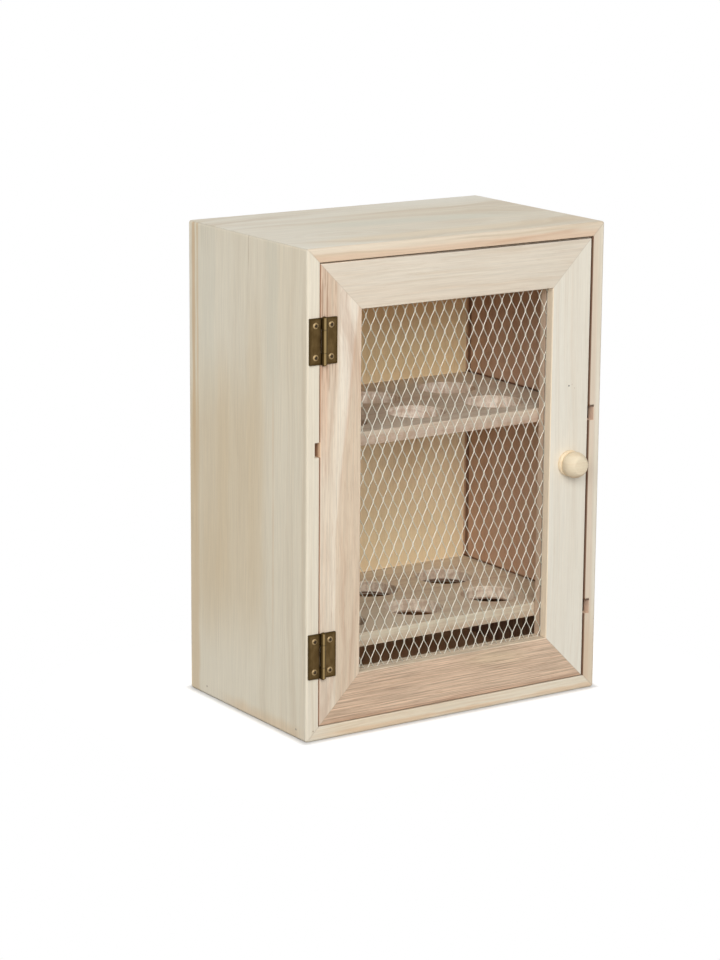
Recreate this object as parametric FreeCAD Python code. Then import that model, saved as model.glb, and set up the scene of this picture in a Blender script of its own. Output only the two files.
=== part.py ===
"""Egg cupboard: a small mitred box with a wire-mesh door and two shelves drilled for eggs.

Millimetres. The origin is the middle of the footprint on the floor: +X is right, +Y is back, +Z is up.
"""
import FreeCAD, Part
import math
import os

# Carcass
WIDTH = 200.0
DEPTH = 125.0
HEIGHT = 275.0
BOARD = 8.0
CARCASS_ROUND = 1.5
CARCASS_INNER_ROUND = 0.4

# Back panel in its rebate
BACK_THICK = 3.0
REBATE = 4.0
BACK_PLAY = 0.2

# Shelves in grooves that run out of the front edges of the sides
SHELF_THICK = 8.0
SHELF_BOTTOMS = {"lower_shelf": 45.5, "upper_shelf": 160.5}
SHELF_SETBACK = 12.0
SHELF_ROUND = 0.5
GROOVE_DEPTH = 3.0
GROOVE_PLAY = 0.4
SHELF_END_PLAY = 0.2

# Egg holes
EGG_HOLE_RADIUS = 17.0
EGG_COLUMNS = (-54.0, 0.0, 54.0)
EGG_ROWS = (-21.0, 25.5)
EGG_HOLE_ROUND = 0.7

# Door
DOOR_THICK = 11.5
GAP_LEFT = 0.5
GAP_RIGHT = 1.2
GAP_BOTTOM = 0.5
GAP_TOP = 0.8
FRAME_WIDTH = 26.6
DOOR_ROUND = 0.6

# Expanded mesh in a saw groove of the door frame
MESH_THICK = 1.0
KERF = 1.2
KERF_DEPTH = 6.0
MESH_PLAY = 0.3
MESH_BORDER = 1.0
MESH_PITCH_X = 6.54
MESH_PITCH_Z = 13.95
MESH_STRAND = 0.72
MESH_BOND = 1.8
MESH_LEAN_DEG = 1.5
MESH_PHASE_X = -58.75
MESH_PHASE_Z = 234.5
MESH_SMALLEST_HOLE = 1.0

# Butt hinges on the front face
HINGE_HEIGHTS = {"lower_hinge": 48.9, "upper_hinge": 224.6}
HINGE_LENGTH = 25.6
HINGE_AXIS_X = -90.2
LEAF_REACH = 8.9
LEAF_THICK = 0.9
LEAF_CORNER = 0.5
BARREL_RADIUS = 1.6
BARREL_LIFT = 0.1
KNUCKLE_SHARE = 0.25
KNUCKLE_PLAY = 0.12
LEAF_SPLIT = 0.1
LEAF_NOTCH_PLAY = 0.2
PIN_RADIUS = 0.8
PIN_PLAY = 0.03
PIN_HEAD_RADIUS = 1.4
PIN_HEAD = 0.8

# Hinge screws
SCREW_OFFSET_X = 5.0
SCREW_OFFSET_Z = 8.7
SCREW_HEAD_RADIUS = 1.85
SCREW_HEAD = 0.7
SCREW_RADIUS = 0.95
SCREW_LENGTH = 8.0
SCREW_TIP = 1.5
HOLE_PLAY = 0.05
RECESS_SHARE = 0.62
RECESS_WIDTH = 0.5
RECESS_DEPTH = 0.45

# Knob and its screw
KNOB_COLLAR_RADIUS = 7.6
KNOB_COLLAR = 2.8
KNOB_COLLAR_BULGE = 0.5
KNOB_NECK_RADIUS = 6.5
KNOB_RADIUS = 7.5
KNOB_FACE_RADIUS = 4.6
KNOB_FACE_RISE = 0.3
KNOB_SCREW_RADIUS = 1.75
KNOB_SCREW_DEPTH = 9.0
KNOB_SCREW_HEAD_RADIUS = 3.3
KNOB_SCREW_HEAD = 1.9

# Magnetic catch behind the latch stile
MAGNET_RADIUS = 3.0
MAGNET_LENGTH = 4.0
STRIKE_RADIUS = 4.6
STRIKE_THICK = 1.0
STRIKE_SCREW_HEAD_RADIUS = 1.9
STRIKE_SCREW_RADIUS = 1.0
STRIKE_SCREW_LENGTH = 6.5

# Pins and nails
BACK_PIN_RADIUS = 0.6
BACK_PIN_HEAD_RADIUS = 1.1
BACK_PIN_HEAD = 0.6
BACK_PIN_LENGTH = 13.0
BACK_PIN_HEIGHTS = (28.0, 107.0, 245.0)
BACK_PIN_ACROSS = (-48.0, 48.0)
BRAD_RADIUS = 0.6
BRAD_LENGTH = 15.0
BRAD_HEIGHT = 5.2
BRAD_PLACES = (-52.0, 44.0)
MITRE_NAIL_LEG = 4.5
MITRE_NAIL_THICK = 0.6
MITRE_NAIL_DEPTH = 7.0
MITRE_NAIL_SHARE = 0.45

# Overshoot of cutting blocks, and the distance at which two places count as one
OVER = 1.0
NEAR = 1e-6

# Faces that the pieces are set from
FRONT = -DEPTH / 2
REAR = DEPTH / 2
BACK_FACE = REAR - BACK_THICK
INNER_X = WIDTH / 2 - BOARD
INNER_TOP = HEIGHT - BOARD
DOOR_BACK = FRONT + DOOR_THICK
SHELF_FRONT = FRONT + SHELF_SETBACK
KERF_MIDDLE = (FRONT + DOOR_BACK) / 2
DOOR_X = (-INNER_X + GAP_LEFT, INNER_X - GAP_RIGHT)
DOOR_Z = (BOARD + GAP_BOTTOM, INNER_TOP - GAP_TOP)
OPENING_X = (DOOR_X[0] + FRAME_WIDTH, DOOR_X[1] - FRAME_WIDTH)
OPENING_Z = (DOOR_Z[0] + FRAME_WIDTH, DOOR_Z[1] - FRAME_WIDTH)
LATCH_X = DOOR_X[1] - FRAME_WIDTH / 2
KNOB_Z = sum(DOOR_Z) / 2
CATCH_Z = SHELF_BOTTOMS["upper_shelf"] + SHELF_THICK / 2
HINGE_AXIS_Y = FRONT - BARREL_RADIUS - BARREL_LIFT
OUTWARD = FreeCAD.Vector(0, -1, 0)
INWARD = FreeCAD.Vector(0, 1, 0)
UP = FreeCAD.Vector(0, 0, 1)


def block(x, y, z):
    """Box between two values on each axis."""
    low = FreeCAD.Vector(x[0], y[0], z[0])
    return Part.makeBox(x[1] - x[0], y[1] - y[0], z[1] - z[0], low)


def rod(radius, length, start, direction):
    return Part.makeCylinder(radius, length, FreeCAD.Vector(*start), direction)


def aimed(shape, start, direction):
    """Shape made along +Z, turned to a direction and moved to its place."""
    placed = shape.copy()
    placed.Placement = FreeCAD.Placement(FreeCAD.Vector(*start), FreeCAD.Rotation(UP, direction))
    return placed


def grown(span, amount):
    return (span[0] - amount, span[1] + amount)


def front_edges(shape, x, z, y):
    """Edges that lie in the plane y and inside the rectangle x by z."""
    low_x, high_x = grown(x, NEAR)
    low_z, high_z = grown(z, NEAR)
    found = []
    for edge in shape.Edges:
        places = [vertex.Point for vertex in edge.Vertexes]
        on_plane = all(abs(p.y - y) < NEAR for p in places)
        inside = all(low_x <= p.x <= high_x and low_z <= p.z <= high_z for p in places)
        if on_plane and inside:
            found.append(edge)
    return found


def level_edges(shape, axis, value):
    """Edges of one height that lie at a value on an axis."""
    found = []
    for edge in shape.Edges:
        first, last = edge.Vertexes[0].Point, edge.Vertexes[-1].Point
        there = all(abs(p[axis] - value) < NEAR for p in (first, last))
        if there and abs(first.z - last.z) < NEAR:
            found.append(edge)
    return found


def mitred(ring, x, z, names, reach):
    """Cuts a rectangular ring into bottom, right, top and left members along its 45 degree mitres."""
    corners = [(x[0], z[0]), (x[1], z[0]), (x[1], z[1]), (x[0], z[1])]
    inner = [(x[0] + reach, z[0] + reach), (x[1] - reach, z[0] + reach),
             (x[1] - reach, z[1] - reach), (x[0] + reach, z[1] - reach)]
    members = {}
    for index, name in enumerate(names):
        after = (index + 1) % 4
        around = [corners[index], corners[after], inner[after], inner[index], corners[index]]
        wire = Part.makePolygon([FreeCAD.Vector(px, -DEPTH, pz) for px, pz in around])
        wedge = Part.Face(wire).extrude(FreeCAD.Vector(0, 2 * DEPTH, 0))
        members[name] = ring.common(wedge)
    return members


def turned(edges):
    """Solid of revolution about Z from a closed outline in the XZ plane."""
    face = Part.Face(Part.Wire(edges))
    solid = face.revolve(FreeCAD.Vector(0, 0, 0), UP, 360)
    return solid if solid.Volume > 0 else solid.reversed()


def outline(points):
    """Straight edges through (radius, height) points, closed."""
    places = [FreeCAD.Vector(r, 0, h) for r, h in points]
    places.append(places[0])
    return [Part.LineSegment(a, b).toShape() for a, b in zip(places, places[1:])]


def arc(start, middle, end):
    points = [FreeCAD.Vector(r, 0, h) for r, h in (start, middle, end)]
    return Part.Arc(*points).toShape()


def line(start, end):
    ends = [FreeCAD.Vector(r, 0, h) for r, h in (start, end)]
    return Part.LineSegment(*ends).toShape()


def dome(radius, rise):
    """Low dome from its rim to its top on the axis."""
    sphere = (radius * radius + rise * rise) / (2 * rise)
    half = math.asin(radius / sphere) / 2
    middle = (sphere * math.sin(half), rise - sphere * (1 - math.cos(half)))
    return arc((radius, 0), middle, (0, rise))


def cross_recess(head_radius, top):
    """Cross-shaped driver recess in the top of a screw head."""
    half = head_radius * RECESS_SHARE
    depth = (top - RECESS_DEPTH, top + OVER)
    first = block((-half, half), (-RECESS_WIDTH / 2, RECESS_WIDTH / 2), depth)
    second = block((-RECESS_WIDTH / 2, RECESS_WIDTH / 2), (-half, half), depth)
    return first.fuse(second)


def round_head_screw(head_radius, head, radius, length):
    """Domed screw along Z: the head's flat underside is at zero, the shank goes down."""
    tip = -length + SCREW_TIP
    edges = [dome(head_radius, head), line((0, head), (0, -length)), line((0, -length), (radius, tip)),
             line((radius, tip), (radius, 0)), line((radius, 0), (head_radius, 0))]
    return turned(edges).cut(cross_recess(head_radius, head))


def hinge_screw_places(side):
    """Screw centres in one leaf, as x offset from the axis and z offset from the hinge's middle."""
    return [(side * SCREW_OFFSET_X, z) for z in (-SCREW_OFFSET_Z, SCREW_OFFSET_Z)]


def hinge_pilot_holes(side):
    """Holes in the wood for one side's hinge screws."""
    holes = []
    for middle in HINGE_HEIGHTS.values():
        for dx, dz in hinge_screw_places(side):
            start = (HINGE_AXIS_X + dx, FRONT - LEAF_THICK, middle + dz)
            holes.append(rod(SCREW_RADIUS + HOLE_PLAY, SCREW_LENGTH + LEAF_THICK, start, INWARD))
    return holes


def back_pin_places():
    """Middles of the back panel's pins, all in the rebate."""
    side = INNER_X + REBATE / 2
    places = [(x, z) for x in (-side, side) for z in BACK_PIN_HEIGHTS]
    edge = BOARD - REBATE / 2
    places += [(x, z) for x in BACK_PIN_ACROSS for z in (edge, HEIGHT - edge)]
    return places


def back_pin(play):
    """Headed pin along Z, its head's top at zero."""
    head = rod(BACK_PIN_HEAD_RADIUS + play, BACK_PIN_HEAD, (0, 0, 0), -UP)
    return head.fuse(rod(BACK_PIN_RADIUS + play, BACK_PIN_LENGTH + play, (0, 0, 0), -UP))


def back_pins(play):
    return [aimed(back_pin(play), (x, REAR, z), INWARD) for x, z in back_pin_places()]


def brads(play):
    """Brads through the sides into the bottom board's ends."""
    pins = []
    for y in BRAD_PLACES:
        for side in (-1, 1):
            start = (side * WIDTH / 2, y, BRAD_HEIGHT)
            pins.append(rod(BRAD_RADIUS + play, BRAD_LENGTH + play, start, FreeCAD.Vector(-side, 0, 0)))
    return pins


def carcass_panels():
    outer = block((-WIDTH / 2, WIDTH / 2), (FRONT, REAR), (0, HEIGHT))
    outer = outer.makeFillet(CARCASS_ROUND, outer.Edges)
    inside_x = (-INNER_X, INNER_X)
    inside_z = (BOARD, INNER_TOP)
    ring = outer.cut(block(inside_x, (FRONT - OVER, REAR + OVER), inside_z))
    ring = ring.makeFillet(CARCASS_INNER_ROUND, front_edges(ring, inside_x, inside_z, FRONT))
    ring = ring.cut(block(grown(inside_x, REBATE), (BACK_FACE, REAR + OVER), grown(inside_z, REBATE)))
    for bottom in SHELF_BOTTOMS.values():
        groove_z = (bottom, bottom + SHELF_THICK + GROOVE_PLAY)
        ring = ring.cut(block(grown(inside_x, GROOVE_DEPTH), (FRONT - OVER, BACK_FACE + OVER), groove_z))
    ring = ring.cut(hinge_pilot_holes(-1) + back_pins(HOLE_PLAY) + brads(HOLE_PLAY))
    names = ("bottom_panel", "right_side_panel", "top_panel", "left_side_panel")
    return mitred(ring, (-WIDTH / 2, WIDTH / 2), (0, HEIGHT), names, 2 * BOARD)


def back_panel():
    x = grown((-INNER_X, INNER_X), REBATE - BACK_PLAY)
    z = grown((BOARD, INNER_TOP), REBATE - BACK_PLAY)
    return block(x, (BACK_FACE, REAR), z).cut(back_pins(HOLE_PLAY))


def shelf(bottom):
    half = INNER_X + GROOVE_DEPTH - SHELF_END_PLAY
    top = bottom + SHELF_THICK
    board = block((-half, half), (SHELF_FRONT, BACK_FACE), (bottom, top))
    board = board.makeFillet(SHELF_ROUND, level_edges(board, 1, SHELF_FRONT))
    holes = [rod(EGG_HOLE_RADIUS, SHELF_THICK, (x, y, bottom), UP) for x in EGG_COLUMNS for y in EGG_ROWS]
    board = board.cut(holes)
    rims = [edge for edge in board.Edges if isinstance(edge.Curve, Part.Circle)
            and abs(edge.Curve.Radius - EGG_HOLE_RADIUS) < NEAR]
    return board.makeFillet(EGG_HOLE_ROUND, rims)


def catch_magnet(play):
    start = (LATCH_X, SHELF_FRONT, CATCH_Z)
    return rod(MAGNET_RADIUS + play, MAGNET_LENGTH, start, INWARD)


def shelves():
    made = {name: shelf(bottom) for name, bottom in SHELF_BOTTOMS.items()}
    made["upper_shelf"] = made["upper_shelf"].cut(catch_magnet(HOLE_PLAY))
    return made


def strike_screw(play):
    """Countersunk screw along Z with its flat head's top at zero."""
    head = STRIKE_SCREW_HEAD_RADIUS + play
    radius = STRIKE_SCREW_RADIUS + play
    length = STRIKE_SCREW_LENGTH + play
    cone = STRIKE_SCREW_HEAD_RADIUS - STRIKE_SCREW_RADIUS
    points = [(0, 0), (head, 0), (radius, -cone), (radius, -length + SCREW_TIP), (0, -length)]
    return turned(outline(points))


def strike_plate():
    disc = rod(STRIKE_RADIUS, STRIKE_THICK, (LATCH_X, DOOR_BACK, CATCH_Z), OUTWARD)
    return disc.cut(aimed(strike_screw(HOLE_PLAY), (LATCH_X, DOOR_BACK, CATCH_Z), INWARD))


def mitre_nails(play):
    """V nails across the door's mitres, pressed in from the back."""
    nails = []
    reach = FRAME_WIDTH * MITRE_NAIL_SHARE
    depth = (DOOR_BACK - MITRE_NAIL_DEPTH - play, DOOR_BACK)
    half = MITRE_NAIL_THICK / 2
    for side_x, x in ((1, DOOR_X[0] + reach), (-1, DOOR_X[1] - reach)):
        for side_z, z in ((1, DOOR_Z[0] + reach), (-1, DOOR_Z[1] - reach)):
            ends_x = sorted((x - side_x * half, x + side_x * MITRE_NAIL_LEG))
            ends_z = sorted((z - side_z * half, z + side_z * MITRE_NAIL_LEG))
            across = block(grown(ends_x, play), depth, grown((z - half, z + half), play))
            along = block(grown((x - half, x + half), play), depth, grown(ends_z, play))
            nails.append(across.fuse(along).removeSplitter())
    return nails


def door_frame():
    outer = block(DOOR_X, (FRONT, DOOR_BACK), DOOR_Z)
    outer = outer.makeFillet(DOOR_ROUND, outer.Edges)
    ring = outer.cut(block(OPENING_X, (FRONT - OVER, DOOR_BACK + OVER), OPENING_Z))
    rims = [edge for y in (FRONT, DOOR_BACK) for edge in front_edges(ring, OPENING_X, OPENING_Z, y)]
    ring = ring.makeFillet(DOOR_ROUND, rims)
    kerf_y = (KERF_MIDDLE - KERF / 2, KERF_MIDDLE + KERF / 2)
    ring = ring.cut(block(grown(OPENING_X, KERF_DEPTH), kerf_y, grown(OPENING_Z, KERF_DEPTH)))
    knob_hole = rod(KNOB_SCREW_RADIUS + HOLE_PLAY, DOOR_THICK, (LATCH_X, FRONT, KNOB_Z), INWARD)
    recess = rod(STRIKE_RADIUS + HOLE_PLAY, STRIKE_THICK, (LATCH_X, DOOR_BACK, CATCH_Z), OUTWARD)
    strike_hole = aimed(strike_screw(HOLE_PLAY), (LATCH_X, DOOR_BACK, CATCH_Z), INWARD)
    ring = ring.cut(hinge_pilot_holes(1) + mitre_nails(HOLE_PLAY) + [knob_hole, recess, strike_hole])
    names = ("door_bottom_rail", "latch_stile", "door_top_rail", "hinge_stile")
    return mitred(ring, DOOR_X, DOOR_Z, names, FRAME_WIDTH)


def clipped(points, axis, limit, sign):
    """Convex polygon cut to one side of a line across an axis."""
    kept = []
    for here, after in zip(points, points[1:] + points[:1]):
        inside = sign * (limit - here[axis])
        beyond = sign * (limit - after[axis])
        if inside >= 0:
            kept.append(here)
        if inside * beyond < 0:
            share = inside / (inside - beyond)
            kept.append(tuple(a + share * (b - a) for a, b in zip(here, after)))
    return kept


def area(points):
    return abs(sum(a[0] * b[1] - b[0] * a[1] for a, b in zip(points, points[1:] + points[:1]))) / 2


def mesh_cell():
    """Six-sided hole of the expanded mesh about its own middle."""
    rise = MESH_PITCH_Z / 2 - MESH_BOND
    run = MESH_PITCH_X / 2
    slant = math.hypot(rise, run)
    side = run - MESH_STRAND / 2 * slant / rise
    tip = MESH_PITCH_Z / 2 - MESH_BOND / 2 - MESH_STRAND / 2 * slant / run
    half = MESH_BOND / 2
    return [(0, tip), (side, half), (side, -half), (0, -tip), (-side, -half), (-side, half)]


def mesh_holes(x, z):
    """Every hole of the leaning lattice, cut to the span x by z."""
    lean = math.tan(math.radians(MESH_LEAN_DEG))
    step = MESH_PITCH_Z / 2
    rows = range(math.floor((z[0] - MESH_PHASE_Z) / step), math.ceil((z[1] - MESH_PHASE_Z) / step) + 1)
    sway = math.ceil(lean * (z[1] - z[0]) / MESH_PITCH_X)
    first = math.floor((x[0] - MESH_PHASE_X) / MESH_PITCH_X) - sway
    last = math.ceil((x[1] - MESH_PHASE_X) / MESH_PITCH_X) + sway
    holes = []
    for row in rows:
        stagger = row % 2 * MESH_PITCH_X / 2
        for column in range(first, last):
            across = MESH_PHASE_X + (column + 0.5) * MESH_PITCH_X + stagger
            height = MESH_PHASE_Z + row * step
            upright = [(across + dx, height + dz) for dx, dz in mesh_cell()]
            points = [(px - lean * (pz - MESH_PHASE_Z), pz) for px, pz in upright]
            for axis, span in ((0, x), (1, z)):
                points = clipped(clipped(points, axis, span[1], 1), axis, span[0], -1)
            if len(points) > 2 and area(points) > MESH_SMALLEST_HOLE:
                holes.append(points)
    return holes


def wire_mesh():
    """Flattened expanded metal standing on the bottom of the saw groove."""
    reach = KERF_DEPTH - MESH_PLAY
    x = grown(OPENING_X, reach)
    z = (OPENING_Z[0] - KERF_DEPTH, OPENING_Z[1] + reach)
    y = KERF_MIDDLE - MESH_THICK / 2
    edge = [(x[0], z[0]), (x[1], z[0]), (x[1], z[1]), (x[0], z[1])]
    wires = []
    for points in [edge] + mesh_holes(grown(x, -MESH_BORDER), grown(z, -MESH_BORDER)):
        places = [FreeCAD.Vector(px, y, pz) for px, pz in points]
        wires.append(Part.makePolygon(places + places[:1]))
    sheet = Part.makeFace(wires, "Part::FaceMakerBullseye")
    return sheet.extrude(FreeCAD.Vector(0, MESH_THICK, 0))


def knuckle_spans(side):
    """Heights of one leaf's knuckles about the hinge's middle: the carcass leaf has the two ends."""
    half = HINGE_LENGTH / 2
    joint = half - HINGE_LENGTH * KNUCKLE_SHARE
    if side < 0:
        return [(-half, -joint - KNUCKLE_PLAY), (joint + KNUCKLE_PLAY, half)]
    return [(-joint + KNUCKLE_PLAY, joint - KNUCKLE_PLAY)]


def hinge_leaf(side, middle):
    """One leaf: -1 is screwed to the carcass, 1 to the door."""
    half = HINGE_LENGTH / 2
    y = (FRONT - LEAF_THICK, FRONT)
    front_face = BARREL_RADIUS + BARREL_LIFT - LEAF_THICK
    near = math.sqrt(BARREL_RADIUS ** 2 - front_face ** 2) + LEAF_NOTCH_PLAY

    def reach(start, end):
        return tuple(sorted((HINGE_AXIS_X + side * start, HINGE_AXIS_X + side * end)))

    leaf = block(reach(near, LEAF_REACH), y, (middle - half, middle + half))
    leaf = leaf.makeFillet(LEAF_CORNER, level_edges(leaf, 0, HINGE_AXIS_X + side * LEAF_REACH))
    for low, high in knuckle_spans(side):
        tab = block(reach(LEAF_SPLIT, near), y, (middle + low, middle + high))
        barrel = rod(BARREL_RADIUS, high - low, (HINGE_AXIS_X, HINGE_AXIS_Y, middle + low), UP)
        leaf = leaf.fuse([tab, barrel])
    bore = rod(PIN_RADIUS + PIN_PLAY, HINGE_LENGTH, (HINGE_AXIS_X, HINGE_AXIS_Y, middle - half), UP)
    holes = [rod(SCREW_RADIUS + HOLE_PLAY, LEAF_THICK, (HINGE_AXIS_X + dx, y[0], middle + dz), INWARD)
             for dx, dz in hinge_screw_places(side)]
    return leaf.cut([bore] + holes).removeSplitter()


def hinge_pin(middle):
    """Pin with a domed head at each end of the barrel."""
    half = HINGE_LENGTH / 2
    pin = rod(PIN_RADIUS, HINGE_LENGTH, (HINGE_AXIS_X, HINGE_AXIS_Y, middle - half), UP)
    rim = dome(PIN_HEAD_RADIUS, PIN_HEAD)
    head = turned([rim, line((0, PIN_HEAD), (0, 0)), line((0, 0), (PIN_HEAD_RADIUS, 0))])
    top = aimed(head, (HINGE_AXIS_X, HINGE_AXIS_Y, middle + half), UP)
    foot = aimed(head, (HINGE_AXIS_X, HINGE_AXIS_Y, middle - half), -UP)
    return pin.fuse([top, foot])


def hinge_screws(side, middle):
    screw = round_head_screw(SCREW_HEAD_RADIUS, SCREW_HEAD, SCREW_RADIUS, SCREW_LENGTH)
    return [aimed(screw, (HINGE_AXIS_X + dx, FRONT - LEAF_THICK, middle + dz), OUTWARD)
            for dx, dz in hinge_screw_places(side)]


def hinges():
    made = {}
    for name, middle in HINGE_HEIGHTS.items():
        made[name + "_pin"] = hinge_pin(middle)
        for side, place in ((-1, "carcass"), (1, "door")):
            made[f"{name}_{place}_leaf"] = hinge_leaf(side, middle)
            made[f"{name}_{place}_screws"] = Part.makeCompound(hinge_screws(side, middle))
    return made


def knob():
    """Turned knob: a low collar, a groove and a ball with a slightly flattened face."""
    rim = KNOB_COLLAR_RADIUS - KNOB_COLLAR_BULGE
    centre = KNOB_COLLAR + math.sqrt(KNOB_RADIUS ** 2 - KNOB_NECK_RADIUS ** 2)
    face_edge = centre + math.sqrt(KNOB_RADIUS ** 2 - KNOB_FACE_RADIUS ** 2)
    top = face_edge + KNOB_FACE_RISE
    face = dome(KNOB_FACE_RADIUS, KNOB_FACE_RISE)
    face.translate(FreeCAD.Vector(0, 0, face_edge))
    edges = [line((0, 0), (rim, 0)),
             arc((rim, 0), (KNOB_COLLAR_RADIUS, KNOB_COLLAR / 2), (rim, KNOB_COLLAR)),
             line((rim, KNOB_COLLAR), (KNOB_NECK_RADIUS, KNOB_COLLAR)),
             arc((KNOB_NECK_RADIUS, KNOB_COLLAR), (KNOB_RADIUS, centre), (KNOB_FACE_RADIUS, face_edge)),
             face, line((0, top), (0, 0))]
    bore = Part.makeCylinder(KNOB_SCREW_RADIUS + HOLE_PLAY, KNOB_SCREW_DEPTH + HOLE_PLAY)
    return aimed(turned(edges).cut(bore), (LATCH_X, FRONT, KNOB_Z), OUTWARD)


def knob_screw():
    screw = round_head_screw(KNOB_SCREW_HEAD_RADIUS, KNOB_SCREW_HEAD, KNOB_SCREW_RADIUS,
                             DOOR_THICK + KNOB_SCREW_DEPTH)
    return aimed(screw, (LATCH_X, DOOR_BACK, KNOB_Z), INWARD)


def build():
    parts = {}
    parts.update(carcass_panels())
    parts.update(shelves())
    parts.update(door_frame())
    parts.update(hinges())
    parts["back_panel"] = back_panel()
    parts["back_panel_pins"] = Part.makeCompound(back_pins(0))
    parts["corner_brads"] = Part.makeCompound(brads(0))
    parts["wire_mesh"] = wire_mesh()
    parts["knob"] = knob()
    parts["knob_screw"] = knob_screw()
    parts["catch_magnet"] = catch_magnet(0)
    parts["strike_plate"] = strike_plate()
    parts["strike_screw"] = aimed(strike_screw(0), (LATCH_X, DOOR_BACK, CATCH_Z), INWARD)
    parts["mitre_nails"] = Part.makeCompound(mitre_nails(0))
    return parts


def main():
    os.makedirs("parts", exist_ok=True)
    for name, shape in build().items():
        shape.exportStep(f"parts/{name}.step")


main()
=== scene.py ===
"""Egg cupboard: wood, brass and wire finishes, floor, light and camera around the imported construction."""
import math
import random
from dataclasses import dataclass, replace

import bpy
from mathutils import Matrix, Vector

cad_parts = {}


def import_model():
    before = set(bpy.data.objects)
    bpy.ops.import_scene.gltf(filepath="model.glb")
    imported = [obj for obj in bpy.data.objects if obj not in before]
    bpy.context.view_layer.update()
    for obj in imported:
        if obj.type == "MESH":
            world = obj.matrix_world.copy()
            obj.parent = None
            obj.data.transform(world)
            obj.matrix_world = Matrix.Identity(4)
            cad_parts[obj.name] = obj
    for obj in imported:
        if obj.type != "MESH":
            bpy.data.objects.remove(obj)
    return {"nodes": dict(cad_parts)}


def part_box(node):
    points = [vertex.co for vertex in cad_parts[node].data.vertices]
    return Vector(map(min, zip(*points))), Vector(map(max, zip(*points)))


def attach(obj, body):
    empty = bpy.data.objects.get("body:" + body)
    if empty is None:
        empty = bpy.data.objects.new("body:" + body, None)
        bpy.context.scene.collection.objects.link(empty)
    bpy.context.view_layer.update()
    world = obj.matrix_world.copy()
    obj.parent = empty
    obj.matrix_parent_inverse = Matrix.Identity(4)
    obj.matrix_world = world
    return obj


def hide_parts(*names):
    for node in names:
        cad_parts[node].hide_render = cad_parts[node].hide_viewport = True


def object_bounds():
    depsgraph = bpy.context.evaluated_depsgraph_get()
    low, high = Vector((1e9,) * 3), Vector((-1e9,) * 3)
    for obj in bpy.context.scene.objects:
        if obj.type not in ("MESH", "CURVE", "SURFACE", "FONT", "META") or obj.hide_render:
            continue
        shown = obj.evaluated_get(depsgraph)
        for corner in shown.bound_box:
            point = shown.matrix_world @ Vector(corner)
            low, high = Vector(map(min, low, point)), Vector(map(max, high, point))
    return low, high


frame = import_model()
cad_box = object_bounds()

MM = 0.001
MICRON_DIGITS = 3


def extent(node, axis):
    """Where a node begins and ends along an axis at rest, in millimetres to the micron."""
    index = "XYZ".index(axis)
    return tuple(round(corner[index] / MM, MICRON_DIGITS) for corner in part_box(node))


# Faces of the construction, in millimetres
CAD_MIDDLE = (cad_box[0] + cad_box[1]) / 2 / MM
FRONT = extent("bottom_panel", "Y")[0]
BACK_FACE = extent("back_panel", "Y")[0]
INNER_RIGHT = extent("right_side_panel", "X")[0]
FLOOR_BOARD_TOP = extent("bottom_panel", "Z")[1]
TOP_UNDERSIDE = extent("top_panel", "Z")[0]
DOOR_LEFT = extent("hinge_stile", "X")[0]
OPENING_RIGHT, DOOR_RIGHT = extent("latch_stile", "X")
DOOR_BOTTOM, OPENING_BOTTOM = extent("door_bottom_rail", "Z")
DOOR_TOP = extent("door_top_rail", "Z")[1]
SHELVES = ("lower_shelf", "upper_shelf")
SHELF_FRONT = extent("upper_shelf", "Y")[0]
SHELF_TOPS = [extent(shelf, "Z")[1] for shelf in SHELVES]
GROOVE_PLAY = 0.4
GROOVES = [(extent(shelf, "Z")[0], extent(shelf, "Z")[1] + GROOVE_PLAY) for shelf in SHELVES]
MESH_MIDDLE = sum(extent("wire_mesh", "Y")) / 2

# Spans that reach past every board
WHOLE_WIDTH = (-120.0, 120.0)
WHOLE_HEIGHT = (-20.0, 300.0)

# Camera, in metres: where it looks from, and how far the cupboard's middle is off the picture's middle
CAMERA_AZIMUTH = math.radians(-33.664)
CAMERA_ELEVATION = math.radians(13.229)
CAMERA_ROLL = math.radians(0.415)
CAMERA_DISTANCE = 1.7556
MIDDLE_RIGHT = 0.01995
MIDDLE_DOWN = -0.01285
LENS = 114.42
SENSOR = 36.0

# Floor, in metres: it darkens where the cupboard stands on it, and is plain white further off
FLOOR_SIZE = 14.0
FLOOR_TONE = (178, 177, 174)
FLOOR_GLOW = 0.5
FLOOR_SHADE = 0.84
CONTACT_REACH = (0.0, 0.006)
SHADOW_REACH = (0.012, 0.09)

# Light
AMBIENT = 0.32
LAMP_TARGET = Vector((0.0, 0.0, 0.14))

# Expanded mesh, in millimetres. A step is from one column of bonds to the next, and the phase is the
# place of one bond in x and z
MESH_STEP = 3.27
MESH_ROW = 6.975
MESH_BOND = 1.9
MESH_WIDTH = 0.38
MESH_SHEET = 0.3
MESH_CHAMFER = 0.1
MESH_TILT = math.radians(34)
MESH_FACING = Vector((-math.sin(MESH_TILT), -math.cos(MESH_TILT), 0))
MESH_LEAN = math.tan(math.radians(1.5))
MESH_PHASE = (-58.75, 234.5)
MESH_JITTER = 0.16
MESH_SEED = 7


@dataclass
class Texture:
    """Noise with a feature size along three directions, in millimetres, and the span of it that counts."""
    size: tuple
    seed: float
    detail: float = 2.0
    rough: float = 0.5
    span: tuple = (0.0, 1.0)


@dataclass
class Area:
    """A patch of another colour: a convex outline, anticlockwise, in millimetres in the plane of two axes.

    A slab limits it along the third axis.
    """
    plane: str
    points: tuple
    tone: tuple
    share: float
    soft: tuple
    waver: float
    slab: tuple = ()


@dataclass
class Speck:
    """A small dark spot, such as a pin knot or a nail hole, at a place in millimetres."""
    place: tuple
    radius: float
    tone: tuple
    share: float


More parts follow.
